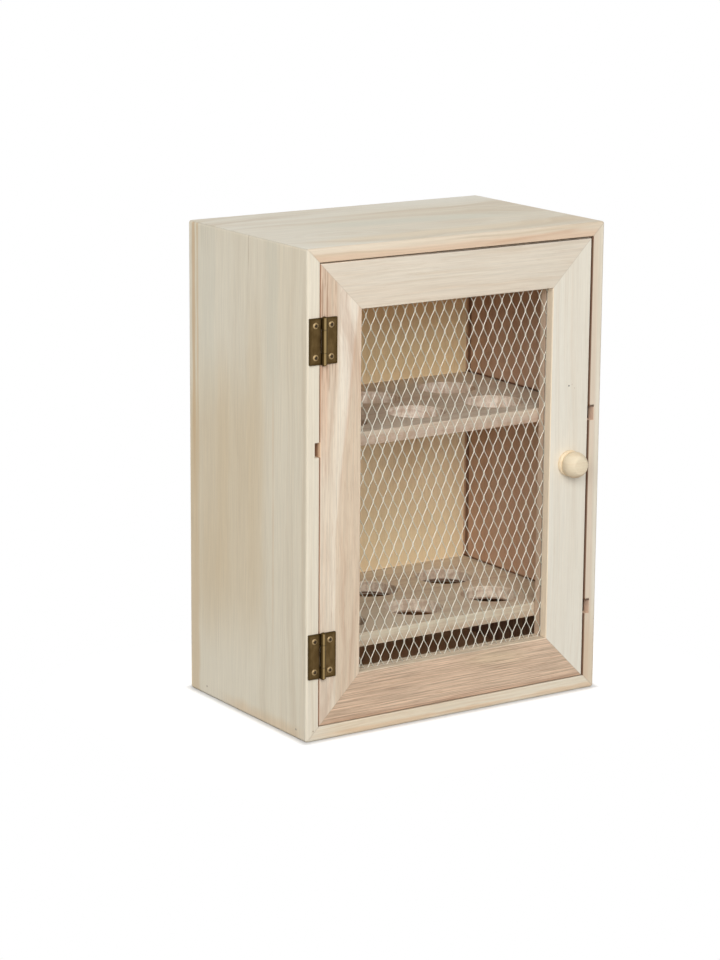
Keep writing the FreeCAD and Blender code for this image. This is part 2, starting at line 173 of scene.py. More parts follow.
@dataclass
class Board:
    """How one board looks. Axes name its grain, width and thickness directions.

    The pith is the middle of its rings, in width and thickness, and grain is how long and how far apart its
    lines of late wood are, all in millimetres. A mitre names the axis from the inner to the outer edge.
    """
    axes: str
    pale: tuple
    tan: tuple
    line: tuple
    seed: int
    pith: tuple
    grain: tuple
    sway: float = 4.0
    ripple: float = 0.3
    bands: float = 0.6
    lines: float = 0.3
    fibre: float = 0.05
    flecks: float = 0.0
    pores: float = 0.08
    edge: tuple = ()
    areas: tuple = ()
    specks: tuple = ()
    mitre: str = ""


@dataclass
class Lamp:
    """A rectangular lamp that faces the cupboard, in metres and watts."""
    name: str
    place: tuple
    size: tuple
    power: float
    in_reflections: bool = True


LAMPS = (
    Lamp("front_key", (-0.69, -1.89, 1.04), (1.1, 1.1), 25),
    Lamp("left_key", (-1.52, -1.27, 1.1), (1.1, 1.1), 16),
    Lamp("back_fill", (1.37, 1.37, 1.17), (1.1, 1.1), 14, in_reflections=False),
    Lamp("rear_key", (0.3, 1.87, 0.35), (1.4, 0.6), 10, in_reflections=False),
)

# Wood. A bump is its strength and its depth in millimetres, and the late wood's size is each board's own
SWAY = Texture((150.0, 60.0, 60.0), 3.7)
RIPPLE = Texture((16.0, 9.0, 9.0), 3.7)
LATE_WOOD = Texture((1.0, 1.0, 1.0), 6.3, detail=5.0, rough=0.6, span=(0.44, 0.72))
FIBRE = Texture((34.0, 0.9, 0.9), 2.3, detail=5.0, rough=0.62, span=(0.2, 0.8))
FLECK = Texture((36.0, 0.46, 0.46), 7.7, rough=0.6, span=(0.28, 0.72))
PORE = Texture((8.0, 0.42, 0.42), 4.1, span=(0.56, 0.7))
BAND_WIDTH = 24.0
BAND_LENGTH = 260.0
BAND_SEED = 5.1
BAND_SPAN = (0.36, 0.64)
LINE_DEPTH = 0.35
PORE_DEPTH = 0.7
WOOD_BUMP = (0.35, 0.16)
WOOD_ROUGHNESS = (0.58, 0.76)
WOOD_GLOSS = 0.28
CREAM_LINE = (198, 172, 142)
PINK_LINE = (182, 142, 114)

# Patches, spots and joints in the wood, in millimetres
WAVER = Texture((26.0, 11.0, 11.0), 1.9, detail=3.0)
WAVER_REACH = 2.0
AREA_SEED_STEP = 0.37
SLAB_EDGE = 0.1
STREAK_FADE = 60.0
PORE_LINE_HALF = 0.2
PORE_LINE_SOFT = 0.6
PORE_LINE_WAVER = 0.9
PORE_LINE_FADE = 20.0
SPECK_CORE = 0.4
MITRE_REACH = 0.3
MITRE_SHARE = 0.14
MITRE_TONE = (120, 92, 66)

# End grain on the upright faces of the shelves
MOTTLE = Texture((3.0, 3.0, 7.0), 9.1, detail=3.0, rough=0.6, span=(0.38, 0.62))
UPRIGHT_SPAN = (0.3, 0.7)
EDGE_SHARE = 0.6
EDGE_DARK = (190, 160, 136)

# Brass, in millimetres
BRASS_CLOUD = Texture((5.0, 3.0, 3.0), 1.3, detail=3.0, span=(0.36, 0.7))
BRASS_RUB = Texture((9.0, 0.3, 0.3), 4.7, detail=3.0, span=(0.4, 0.72))
CLOUD_SHARE = 0.7
RUB_SHARE = 0.3
BRASS_BUMP = (0.25, 0.05)
BRASS_ROUGHNESS = (0.4, 0.55)
BRASS_SHADE = (62, 48, 24)
BARREL_HIGHLIGHT_TONE = (146, 124, 84)
PIN_TONES = (BRASS_SHADE, (96, 78, 46))
LEAF_TONES = ((88, 69, 40), (112, 91, 58))
BORDER_SPAN = (0.2, 1.8)
BORDER_SHARE = 0.6
# The barrel of a hinge leaf is darkened as painted shade, and a bright line down it, turned by an angle
# about the pin, is a painted highlight
BARREL_SHADE_SPAN = (1.7, 2.1)
BARREL_SHADE_SHARE = 0.85
BARREL_HIGHLIGHT_ANGLE = math.radians(-9)
BARREL_HIGHLIGHT_SPAN = (1.36, 1.56)
LEAF_BEVEL = 0.12
BEVEL_SEGMENTS = 2
BEVEL_ANGLE = math.radians(40)

# Brass screws: the recess and the rim are shares of the head's radius
SCREW_TONES = ((150, 125, 84), (184, 157, 110))
SCREW_ROUGHNESS = (0.45, 0.6)
SCREW_METAL = 0.4
# RECESS_TONE is painted shade, laid in the cross recess and at the head's outer edge
RECESS_TONE = (66, 50, 28)
RECESS_SPAN = (0.4, 0.66)
RIM_SPAN = (0.84, 1.0)
RIM_SHARE = 0.15

# Plated steel, and the coating of the expanded mesh
ROUGH_SPAN = (0.3, 0.7)
STEEL_CLOUD = Texture((1.6, 1.6, 1.6), 2.9, detail=3.0, span=(0.35, 0.7))
STEEL_TONES = ((182, 168, 148), (156, 143, 124))
STEEL_ROUGHNESS = (0.28, 0.5)
COATING_CLOUD = Texture((5.0, 5.0, 9.0), 6.1, detail=3.0, span=(0.35, 0.7))
COATING_GRIT = Texture((0.3, 0.3, 0.3), 8.3)
# The coating has a lit and a shaded set of tones: painted light on faces turned up, painted shade on faces
# turned down
COATING_LIT_TONES = ((248, 244, 230), (234, 230, 214))
COATING_SHADED_TONES = ((188, 189, 174), (168, 170, 154))
COATING_LIGHT_TURN = (-0.2, 0.2)
COATING_BUMP = (0.2, 0.05)
COATING_ROUGHNESS = (0.34, 0.5)


class Nodes:
    """Short calls that build the node tree of one material or world."""

    def __init__(self, owner):
        owner.use_nodes = True
        self.tree = owner.node_tree
        self.tree.nodes.clear()

    def feed(self, socket, value):
        """Links an input to an output, or sets its value."""
        if isinstance(value, bpy.types.NodeSocket):
            self.tree.links.new(value, socket)
        else:
            socket.default_value = value

    def add(self, kind, values=None, **settings):
        """A node with its settings made and its inputs fed."""
        node = self.tree.nodes.new("ShaderNode" + kind)
        for key, value in settings.items():
            setattr(node, key, value)
        for name, value in (values or {}).items():
            self.feed(node.inputs[name], value)
        return node

    def math(self, operation, *values):
        node = self.add("Math", operation=operation)
        for socket, value in zip(node.inputs, values):
            self.feed(socket, value)
        return node.outputs[0]

    def vector(self, x, y, z):
        return self.add("CombineXYZ", {"X": x, "Y": y, "Z": z}).outputs[0]

    def noise(self, vector, detail=2.0, rough=0.5):
        values = {"Vector": vector, "Scale": 1.0, "Detail": detail, "Roughness": rough}
        return self.add("TexNoise", values).outputs["Fac"]

    def fade(self, value, low, high, start=0.0, end=1.0):
        """Smooth step from start to end, as a value goes from low to high."""
        values = {"Value": value, "From Min": low, "From Max": high, "To Min": start, "To Max": end}
        return self.add("MapRange", values, interpolation_type="SMOOTHSTEP").outputs["Result"]

    def mix(self, share, first, second, blend="MIX"):
        """The first colour, with a share of the second in it."""
        node = self.add("Mix", data_type="RGBA", blend_type=blend)
        self.feed(node.inputs["Factor"], share)
        colours = [socket for socket in node.inputs if socket.type == "RGBA"]
        self.feed(colours[0], first)
        self.feed(colours[1], second)
        return next(socket for socket in node.outputs if socket.type == "RGBA")

    def bump(self, height, strength, depth):
        values = {"Height": height, "Strength": strength, "Distance": depth * MM}
        return self.add("Bump", values).outputs[0]

    def surface(self, shader):
        self.add("OutputMaterial", {"Surface": shader.outputs[0]})

    def principled(self, values):
        self.surface(self.add("BsdfPrincipled", values))


def linear_part(part):
    """One part of a picture colour, 0 to 1, as linear light."""
    if part < 0.04045:
        return part / 12.92
    return ((part + 0.055) / 1.055) ** 2.4


def linear(colour):
    """A picture colour, each part 0 to 255, as a shader colour."""
    return (*[linear_part(part / 255) for part in colour], 1.0)


def places(nodes, axes):
    """Places along the axes, in millimetres, in the order that they are named."""
    scaled = nodes.add("VectorMath", operation="SCALE")
    nodes.feed(scaled.inputs[0], nodes.add("TexCoord").outputs["Object"])
    nodes.feed(scaled.inputs["Scale"], 1 / MM)
    parts = nodes.add("SeparateXYZ", {"Vector": scaled.outputs[0]})
    return [parts.outputs[axis] for axis in axes]


def upward(nodes):
    """How far a surface faces up, from -1 to 1."""
    normal = nodes.add("NewGeometry").outputs["Normal"]
    return nodes.add("SeparateXYZ", {"Vector": normal}).outputs["Z"]


def layer(nodes, place, texture, seed=1):
    """Noise of one texture over a place given by its three parts."""
    parts = [nodes.math("DIVIDE", value, size) for value, size in zip(place, texture.size)]
    start = nodes.math("ADD", parts[0], seed * texture.seed)
    return nodes.noise(nodes.vector(start, parts[1], parts[2]), texture.detail, texture.rough)


def apart(nodes, value, place):
    """How far a value is from a place, either way."""
    return nodes.math("ABSOLUTE", nodes.math("SUBTRACT", value, place))


def distance(nodes, *offsets):
    """Length of the line with these offsets along its axes."""
    squares = [nodes.math("MULTIPLY", offset, offset) for offset in offsets]
    total = squares[0]
    for square in squares[1:]:
        total = nodes.math("ADD", total, square)
    return nodes.math("SQRT", total)


def ring_field(nodes, place, board):
    """Distance from the pith, bent by slow sways and small ripples."""
    offsets = [nodes.math("SUBTRACT", value, middle) for value, middle in zip(place[1:], board.pith)]
    ring = distance(nodes, *offsets)
    for texture, size in ((SWAY, board.sway), (RIPPLE, board.ripple)):
        ring = nodes.math("MULTIPLY_ADD", layer(nodes, place, texture, board.seed), 2 * size, ring)
    return ring


def grain_lines(nodes, along, ring, board):
    """Uneven lines of late wood that follow the rings and fade in and out along the board."""
    texture = replace(LATE_WOOD, size=(*board.grain, 1.0))
    return nodes.fade(layer(nodes, (along, ring, 0.0), texture, board.seed), *texture.span)


def edge_wave(nodes, place, area, seed):
    """Shift of an area's edges, in millimetres, by noise about its middle value."""
    if not area.waver:
        return 0.0
    reach = WAVER_REACH * area.waver
    return nodes.math("MULTIPLY_ADD", layer(nodes, place, WAVER, seed), 2 * reach, -reach)


def slab_share(nodes, place, axes, area):
    """1 between an area's two limits along the axis that isn't in its plane."""
    third = next(value for axis, value in zip(axes, place) if axis not in area.plane)
    low, high = area.slab
    half = (high - low) / 2
    return nodes.fade(apart(nodes, third, (low + high) / 2), half - SLAB_EDGE, half + SLAB_EDGE, 1.0, 0.0)


def area_share(nodes, place, axes, area, seed):
    """How much an area covers a point, with soft and wavering edges."""
    first, second = [place[axes.index(axis)] for axis in area.plane]
    wave = edge_wave(nodes, place, area, seed)
    share = area.share
    points = [Vector(point) for point in area.points]
    for here, after in zip(points, points[1:] + points[:1]):
        inward = (after - here).orthogonal().normalized()
        depth = nodes.math("MULTIPLY_ADD", second, inward.y, nodes.math("ADD", wave, -inward.dot(here)))
        depth = nodes.math("MULTIPLY_ADD", first, inward.x, depth)
        half = (abs(inward.x) * area.soft[0] + abs(inward.y) * area.soft[1]) / 2
        share = nodes.math("MULTIPLY", nodes.fade(depth, -half, half), share)
    if area.slab:
        share = nodes.math("MULTIPLY", slab_share(nodes, place, axes, area), share)
    return share


def speck_share(nodes, place, axes, speck):
    """A small round spot's share, with a soft rim."""
    middle = [speck.place["XYZ".index(axis)] for axis in axes]
    offsets = [nodes.math("SUBTRACT", value, there) for value, there in zip(place, middle)]
    return nodes.fade(distance(nodes, *offsets), speck.radius * SPECK_CORE, speck.radius, speck.share, 0.0)


def mitre_share(nodes, place, board, node):
    """1 on the mitre planes at a board's ends, fading out within MITRE_REACH."""
    start, end = extent(node, board.axes[0])
    low, high = extent(node, board.mitre)
    middle = CAD_MIDDLE["XYZ".index(board.mitre)]
    outer = high if (low + high) / 2 > middle else low
    from_edge = apart(nodes, place[board.axes.index(board.mitre)], outer)
    from_end = nodes.math("SUBTRACT", (end - start) / 2, apart(nodes, place[0], (start + end) / 2))
    return nodes.fade(nodes.math("SUBTRACT", from_end, from_edge), 0.0, MITRE_REACH, 1.0, 0.0)


def band_colour(nodes, along, ring, board):
    """Broad pale and tan bands that follow the rings."""
    across = nodes.math("DIVIDE", ring, BAND_WIDTH)
    slow = nodes.math("DIVIDE", along, BAND_LENGTH)
    bands = nodes.fade(nodes.noise(nodes.vector(across, slow, board.seed * BAND_SEED)), *BAND_SPAN)
    return nodes.mix(nodes.math("MULTIPLY", bands, board.bands), linear(board.pale), linear(board.tan))


def end_grain(nodes, place, board, colour):
    """Mottled end grain over the upright faces of a board."""
    upright = nodes.fade(nodes.math("ABSOLUTE", upward(nodes)), *UPRIGHT_SPAN, EDGE_SHARE, 0.0)
    mottle = nodes.fade(layer(nodes, place, MOTTLE, board.seed), *MOTTLE.span)
    return nodes.mix(upright, colour, nodes.mix(mottle, linear(EDGE_DARK), linear(board.edge)))


def wood_colour(nodes, node, place, board, ring, lines):
    """Bands, patches, late wood and spots, before the fine fibres."""
    colour = band_colour(nodes, place[0], ring, board)
    if board.edge:
        colour = end_grain(nodes, place, board, colour)
    for number, area in enumerate(board.areas):
        share = area_share(nodes, place, board.axes, area, board.seed + AREA_SEED_STEP * number)
        colour = nodes.mix(share, colour, linear(area.tone))
    colour = nodes.mix(nodes.math("MULTIPLY", lines, board.lines), colour, linear(board.line))
    for speck in board.specks:
        colour = nodes.mix(speck_share(nodes, place, board.axes, speck), colour, linear(speck.tone))
    if board.mitre:
        joint = nodes.math("MULTIPLY", mitre_share(nodes, place, board, node), MITRE_SHARE)
        colour = nodes.mix(joint, colour, linear(MITRE_TONE))
    return colour


def fibre_light(nodes, place, board, fibre):
    """Lighter and darker fibres and flecks, as a grey that the colour is multiplied by."""
    fleck = layer(nodes, place, FLECK, board.seed)
    fibres = nodes.fade(fibre, *FIBRE.span, 1 - board.fibre, 1 + board.fibre)
    flecks = nodes.fade(fleck, *FLECK.span, 1 - board.flecks, 1 + board.flecks)
    light = nodes.math("MULTIPLY", fibres, flecks)
    return nodes.vector(light, light, light)


def wood(node, board):
    """Solid wood: rings about a pith, colour bands, patches, fibres, flecks and pores."""
    material = bpy.data.materials.new(node + "_wood")
    nodes = Nodes(material)
    place = places(nodes, board.axes)
    ring = ring_field(nodes, place, board)
    lines = grain_lines(nodes, place[0], ring, board)
    fibre = layer(nodes, place, FIBRE, board.seed)
    pores = nodes.fade(layer(nodes, place, PORE, board.seed), *PORE.span)
    colour = wood_colour(nodes, node, place, board, ring, lines)
    colour = nodes.mix(1.0, colour, fibre_light(nodes, place, board, fibre), "MULTIPLY")
    colour = nodes.mix(nodes.math("MULTIPLY", pores, board.pores), colour, linear(board.line))
    height = nodes.math("MULTIPLY_ADD", lines, -LINE_DEPTH, fibre)
    height = nodes.math("MULTIPLY_ADD", pores, -PORE_DEPTH, height)
    nodes.principled({
        "Base Color": colour,
        "Roughness": nodes.fade(fibre, *FIBRE.span, *WOOD_ROUGHNESS),
        "Specular IOR Level": WOOD_GLOSS,
        "Normal": nodes.bump(height, *WOOD_BUMP),
    })
    return material


def patch(plane, first, second, tone, share, soft, waver=0.0, slab=()):
    """A rectangle between two places along each axis of its plane, as an area."""
    left, right = first
    low, high = second
    points = ((left, low), (right, low), (right, high), (left, high))
    return Area(plane, points, tone, share, soft, waver, slab)


def streak(plane, middle, span, half, tone, share, soft, waver=0.5, fade=STREAK_FADE, slab=()):
    """A wavering stripe along the second axis of its plane, with long soft ends, as an area."""
    return patch(plane, (middle - half, middle + half), span, tone, share, (soft, fade), waver, slab)


def slant(plane, start, end, half, tone, share, soft, waver=0.5):
    """A stripe between two points that isn't along an axis, as an area."""
    start, end = Vector(start), Vector(end)
    side = (end - start).orthogonal().normalized() * half
    return Area(plane, (start - side, end - side, end + side, start + side), tone, share, soft, waver)


def pore_lines(middles, span, tone, share):
    """Thin wavering upright lines of pores on a front face, one for each place in x."""
    shape = (PORE_LINE_SOFT, PORE_LINE_WAVER, PORE_LINE_FADE)
    return [streak("XZ", x, span, PORE_LINE_HALF, tone, share, *shape) for x in middles]


def left_side_panel():
    """Pale straight grain: dark lines and a warm band by the rear edge, a warm middle, a pale front edge."""
    areas = (
        streak("YZ", 56.8, (130.0, 300.0), 1.6, (216, 180, 132), 0.65, soft=1.8),
        streak("YZ", 52.6, (150.0, 300.0), 0.9, (222, 190, 142), 0.55, soft=1.6),
        streak("YZ", 57.0, (-20.0, 170.0), 5.0, (221, 194, 154), 0.55, soft=4.0, waver=1.0),
        streak("YZ", 42.0, (170.0, 300.0), 8.0, (228, 223, 206), 0.4, soft=8.0, waver=1.5),
        streak("YZ", 22.0, (50.0, 190.0), 34.0, (222, 198, 159), 0.42, soft=30.0, waver=2.0),
        streak("YZ", 25.0, (60.0, 200.0), 6.5, (222, 199, 162), 0.3, soft=6.0, waver=2.0),
        slant("YZ", (40.0, 40.0), (38.0, 110.0), 10.0, (218, 195, 158), 0.25, soft=(8.0, 40.0), waver=2.0),
        slant("YZ", (-10.0, 60.0), (-9.0, 230.0), 8.0, (224, 202, 166), 0.34, soft=(7.0, 60.0), waver=2.0),
        streak("YZ", -28.0, (50.0, 200.0), 0.8, (220, 190, 150), 0.3, soft=1.2),
        streak("YZ", -2.5, (258.0, 300.0), 0.4, (190, 168, 136), 0.45, soft=0.8, waver=0.3, fade=12.0),
        streak("YZ", -27.0, (190.0, 300.0), 6.0, (220, 216, 198), 0.35, soft=6.0, waver=1.5),
        patch("YZ", (-60.0, 20.0), (-2.0, 6.0), (230, 196, 152), 0.4, soft=(30.0, 7.0), waver=1.2),
        streak("YZ", -59.0, WHOLE_HEIGHT, 2.6, (233, 221, 199), 0.6, soft=3.0),
        patch("XY", WHOLE_WIDTH, (FRONT - 2.5, FRONT + 1.5), (227, 218, 200), 0.85, soft=(1.0, 1.0)),
    )
    return Board(
        axes="ZYX", pale=(240, 231, 211), tan=(231, 215, 187), line=(200, 178, 146), seed=1,
        pith=(40.0, -420.0), grain=(420.0, 2.2), sway=3.0, bands=0.4, lines=0.28, flecks=0.03, pores=0.06,
        areas=areas, specks=(Speck((-95.4, FRONT, 6.1), 0.6, (150, 124, 98), 0.7),), mitre="X")


def notch(low, high):
    """Painted shade in the front end of a shelf groove in the right side."""
    across = (INNER_RIGHT - 0.2, INNER_RIGHT + 3.2)
    inside = (FRONT + 4.5, FRONT + 7.7)
    return (
        patch("XZ", across, (low, high), (226, 188, 164), 0.7, soft=(0.2, 0.2)),
        patch("YZ", inside, (low, high), (70, 42, 28), 0.95, soft=(1.4, 0.2), slab=across),
        patch("XZ", across, (high - 0.8, high + 0.6), (84, 56, 40), 0.9, soft=(0.2, 0.8)),
    )


def right_side_panel():
    """A warm front edge with two notches, and a reddish inner face with painted shade in its corners, over
    the shelves, low down and in the door's gap.
    """
    inner = (INNER_RIGHT - 0.6, INNER_RIGHT + 0.4)
    warm_edge = (INNER_RIGHT - 6.2, INNER_RIGHT + 4.2)
    low_edge = (INNER_RIGHT - 1.5, INNER_RIGHT + 10.5)
    gap_edge = (INNER_RIGHT - 0.6, INNER_RIGHT + 0.3)
    rear_corner = (BACK_FACE - 5.1, BACK_FACE - 1.9)
    # Painted shade in a line on the inner face just above each shelf
    over_shelves = [patch("XZ", inner, (top - 0.1, top + 1.5), (96, 62, 42), 0.8, soft=(0.3, 0.8))
                    for top in SHELF_TOPS]
    grain = [streak("YZ", y, WHOLE_HEIGHT, half, (168, 122, 94), 0.22, soft=12.0, waver=3.0, slab=inner)
             for y, half in ((-30.0, 5.0), (8.0, 7.0), (38.0, 4.0))]
    areas = (
        patch("XZ", warm_edge, WHOLE_HEIGHT, (222, 203, 181), 0.7, soft=(3.0, 2.0), waver=0.4),
        patch("XY", inner, (-60.0, 60.0), (186, 138, 108), 0.7, soft=(0.3, 1.0)),
        # Painted shade in the inner face's rear corner
        patch("XY", inner, rear_corner, (84, 52, 34), 0.8, soft=(0.3, 1.4)),
        *over_shelves,
        patch("XZ", low_edge, (-20.0, 44.0), (214, 188, 156), 0.5, soft=(3.0, 40.0), waver=0.8),
        *[area for groove in GROOVES for area in notch(*groove)],
        *grain,
        # Painted shade low on the inner face, in the bottom compartment
        patch("YZ", (-49.0, 49.0), (-10.0, 40.0), (96, 62, 42), 0.8, soft=(2.0, 10.0), slab=inner),
        # Painted shade at the inner face's front, in the gap beside the door
        patch("XY", gap_edge, (FRONT - 0.4, FRONT + 2.2), (112, 76, 54), 0.9, soft=(0.3, 0.6)),
    )
    return Board(
        axes="ZYX", pale=(231, 223, 206), tan=(226, 213, 191), line=(198, 170, 142), seed=2,
        pith=(-300.0, 260.0), grain=(300.0, 2.6), areas=areas, mitre="X")


def top_panel():
    """Grey and tan bands along the top, and a front edge that is pinkish below."""
    areas = (
        patch("YZ", (FRONT - 2.8, FRONT + 1.0), WHOLE_HEIGHT, (224, 208, 186), 0.85, soft=(0.8, 2.0)),
        patch("XZ", WHOLE_WIDTH, (TOP_UNDERSIDE - 5.8, TOP_UNDERSIDE + 3.8), (222, 192, 164), 0.8,
              soft=(2.0, 4.0), waver=0.6),
        slant("XY", (-80.0, -48.0), (110.0, -44.0), 7.0, (237, 219, 190), 0.55, soft=(50.0, 8.0), waver=2.0),
        slant("XY", (-50.0, 2.0), (70.0, -8.0), 9.0, (222, 219, 203), 0.6, soft=(60.0, 8.0), waver=2.0),
        slant("XY", (-110.0, 32.0), (60.0, 24.0), 3.0, (216, 198, 172), 0.28, soft=(40.0, 4.0), waver=1.5),
        slant("XZ", (20.0, 268.6), (80.0, 271.6), 0.8, (206, 168, 136), 0.55, soft=(20.0, 1.0), waver=0.4),
    )
    return Board(
        axes="XYZ", pale=(239, 234, 220), tan=(231, 221, 201), line=(200, 178, 148), seed=3,
        pith=(-20.0, 560.0), grain=(240.0, 2.4), sway=5.0, bands=0.9, lines=0.5, fibre=0.06, flecks=0.03,
        areas=areas, mitre="Z")


def bottom_panel():
    """A tan line along the front edge, a paler left end, and painted shade on the top towards the back."""
    top = (FLOOR_BOARD_TOP - 0.5, FLOOR_BOARD_TOP + 0.9)
    areas = (
        patch("XZ", (-80.0, 120.0), (1.0, 3.4), (219, 186, 150), 0.6, soft=(30.0, 1.6), waver=0.9),
        patch("XZ", (-110.0, -88.0), WHOLE_HEIGHT, (228, 219, 201), 0.85, soft=(24.0, 2.0)),
        # Painted shade on the top towards the back, in the bottom compartment
        patch("YZ", (10.0, 61.0), top, (172, 126, 86), 0.85, soft=(30.0, 0.4)),
    )
    return Board(
        axes="XYZ", pale=(233, 224, 205), tan=(226, 208, 180), line=(198, 162, 124), seed=4,
        pith=(60.0, -160.0), grain=(90.0, 1.8), lines=0.4, fibre=0.06, flecks=0.04, areas=areas, mitre="Z")


def hinge_stile():
    """Pinkish wood with pale streaks, dark pore lines above, a darker half below a slanting line, and
    painted shade on its left edge with painted light where the notches face it.
    """
    darker_half = ((-81.2, -40.0), (-60.0, -40.0), (-60.0, 290.0), (-61.4, 290.0), (-81.2, 118.0))
    outer_side = (DOOR_LEFT - 0.5, DOOR_LEFT + 0.3)
    outer_arris = (DOOR_LEFT - 0.45, DOOR_LEFT + 0.25)
    # Painted light on the door's left edge where the shelf notches face it
    lit_by_notches = [patch("YZ", (FRONT - 2.6, FRONT + 2.6), groove, (236, 202, 168), 0.95, soft=(2.4, 0.3),
                            slab=outer_side) for groove in GROOVES]
    areas = (
        streak("XZ", -88.0, (205.0, 300.0), 7.6, (213, 191, 167), 0.85, soft=1.6, waver=0.8, fade=40.0),
        streak("XZ", -90.0, (160.0, 230.0), 4.0, (214, 182, 155), 0.65, soft=3.0, waver=0.8, fade=50.0),
        streak("XZ", -73.0, (180.0, 300.0), 6.5, (236, 226, 210), 0.75, soft=3.0, waver=0.8, fade=50.0),
        *pore_lines((-90.4, -88.9, -87.3, -85.6, -83.6, -81.9), (204.0, 268.0), (150, 108, 84), 0.55),
        *pore_lines((-90.2, -88.0, -86.0), (150.0, 212.0), (176, 136, 110), 0.4),
        slant("XZ", (-82.0, 60.0), (-78.0, 200.0), 3.0, (236, 224, 205), 0.6, soft=(3.0, 60.0), waver=0.6),
        Area("XZ", darker_half, (215, 194, 169), 0.75, soft=(1.4, 4.0), waver=0.7),
        slant("XZ", (-79.0, 137.0), (-67.5, 237.0), 0.5, (204, 168, 142), 0.5, soft=(0.8, 20.0), waver=0.6),
        slant("XZ", (-66.0, 200.0), (-66.4, 300.0), 1.0, (222, 192, 168), 0.4, soft=(1.4, 30.0)),
        # Painted shade on the door's left edge, in the gap beside the hinges
        patch("XZ", outer_arris, WHOLE_HEIGHT, (172, 124, 94), 0.85, soft=(0.3, 2.0)),
        *lit_by_notches,
    )
    return Board(
        axes="ZXY", pale=(228, 214, 194), tan=(222, 204, 181), line=PINK_LINE, seed=5,
        pith=(-140.0, 160.0), grain=(130.0, 1.7), sway=7.0, lines=0.5, fibre=0.1, flecks=0.07, pores=0.25,
        areas=areas, mitre="X")


def latch_stile():
    """Cream wood with a pin knot, painted highlights on its arrises, and painted shade on the edge that the
    mesh stands in.
    """
    reveal = (OPENING_RIGHT - 0.4, OPENING_RIGHT + 0.4)
    inner_arris = (OPENING_RIGHT - 1.3, OPENING_RIGHT + 0.5)
    outer_arris = (DOOR_RIGHT - 0.7, DOOR_RIGHT + 0.1)
    behind_mesh = (MESH_MIDDLE + 0.55, MESH_MIDDLE + 6.15)
    mesh_groove = (MESH_MIDDLE - 0.45, MESH_MIDDLE + 0.75)
    areas = (
        # Painted light on the inner arris and the reveal beside the opening
        patch("XZ", inner_arris, WHOLE_HEIGHT, (240, 218, 188), 0.7, soft=(0.5, 2.0)),
        # Painted shade on the reveal behind the mesh and in the mesh's groove
        patch("YZ", behind_mesh, WHOLE_HEIGHT, (176, 136, 112), 0.5, soft=(1.0, 2.0), slab=reveal),
        patch("YZ", mesh_groove, WHOLE_HEIGHT, (96, 66, 48), 0.9, soft=(0.5, 2.0), slab=reveal),
        # Painted highlight on the outer arris
        patch("XZ", outer_arris, WHOLE_HEIGHT, (248, 238, 222), 0.7, soft=(0.5, 2.0)),
    )
    specks = (
        Speck((76.9, FRONT, 182.3), 0.6, (52, 36, 26), 1.0),
        Speck((79.1, FRONT, 182.9), 0.5, (190, 168, 146), 0.5),
        Speck((80.9, FRONT, 180.6), 0.5, (190, 168, 146), 0.5),
    )
    return Board(
        axes="ZXY", pale=(233, 227, 213), tan=(229, 220, 203), line=CREAM_LINE, seed=6,
        pith=(240.0, 120.0), grain=(260.0, 2.2), lines=0.2, fibre=0.04, flecks=0.02, pores=0.07,
        areas=areas, specks=specks, mitre="X")


def door_top_rail():
    """Cream wood whose upper arris has painted light at the left and painted shade of the gap at the right.
    """
    light_arris = (DOOR_TOP - 0.25, DOOR_TOP + 0.45)
    shaded_arris = (DOOR_TOP - 0.35, DOOR_TOP + 0.45)
    areas = (
        # Painted light on the upper arris at the left
        patch("XZ", (-110.0, -62.0), light_arris, (240, 226, 206), 0.9, soft=(40.0, 0.3)),
        # Painted shade of the gap on the upper arris at the right
        patch("XZ", (-28.0, 110.0), shaded_arris, (40, 20, 10), 1.0, soft=(90.0, 0.4),
              slab=(FRONT - 0.3, FRONT + 0.6)),
    )
    return Board(
        axes="XZY", pale=(223, 212, 195), tan=(219, 202, 181), line=CREAM_LINE, seed=7,
        pith=(420.0, 140.0), grain=(70.0, 1.9), sway=5.0, fibre=0.07, flecks=0.03, pores=0.14,
        areas=areas, mitre="Z")


def door_bottom_rail():
    """Coarse pinkish wood with many flecks, and a light upper edge."""
    lower_edge = (DOOR_BOTTOM - 2.3, DOOR_BOTTOM + 2.1)
    upper_edge = (OPENING_BOTTOM - 0.3, OPENING_BOTTOM + 0.9)
    areas = (
        slant("XZ", (10.0, 31.0), (46.0, 28.0), 3.4, (212, 192, 160), 0.5, soft=(24.0, 5.0), waver=1.2),
        patch("XZ", WHOLE_WIDTH, lower_edge, (182, 142, 114), 0.5, soft=(2.0, 4.0), waver=0.6),
        patch("YZ", WHOLE_WIDTH, upper_edge, (226, 211, 187), 0.85, soft=(0.6, 0.4)),
    )
    return Board(
        axes="XZY", pale=(211, 185, 160), tan=(197, 167, 140), line=(158, 118, 91), seed=8,
        pith=(-240.0, 60.0), grain=(60.0, 0.7), ripple=0.25, lines=0.16, fibre=0.12, flecks=0.29, pores=0.34,
        areas=areas, mitre="Z")


def shelf_rim(light_span, shade, light):
    """Tones of a shelf's front edge: painted shade over it, and painted light on its upper part."""
    rim = (SHELF_FRONT - 1.4, SHELF_FRONT + 0.4)
    return (
        # Painted shade over the whole front edge
        patch("YZ", rim, WHOLE_HEIGHT, shade, 0.7, soft=(0.5, 2.0)),
        # Painted light on the front edge's upper part
        patch("YZ", rim, light_span, light, 0.75, soft=(0.5, 4.0), waver=0.6),
    )


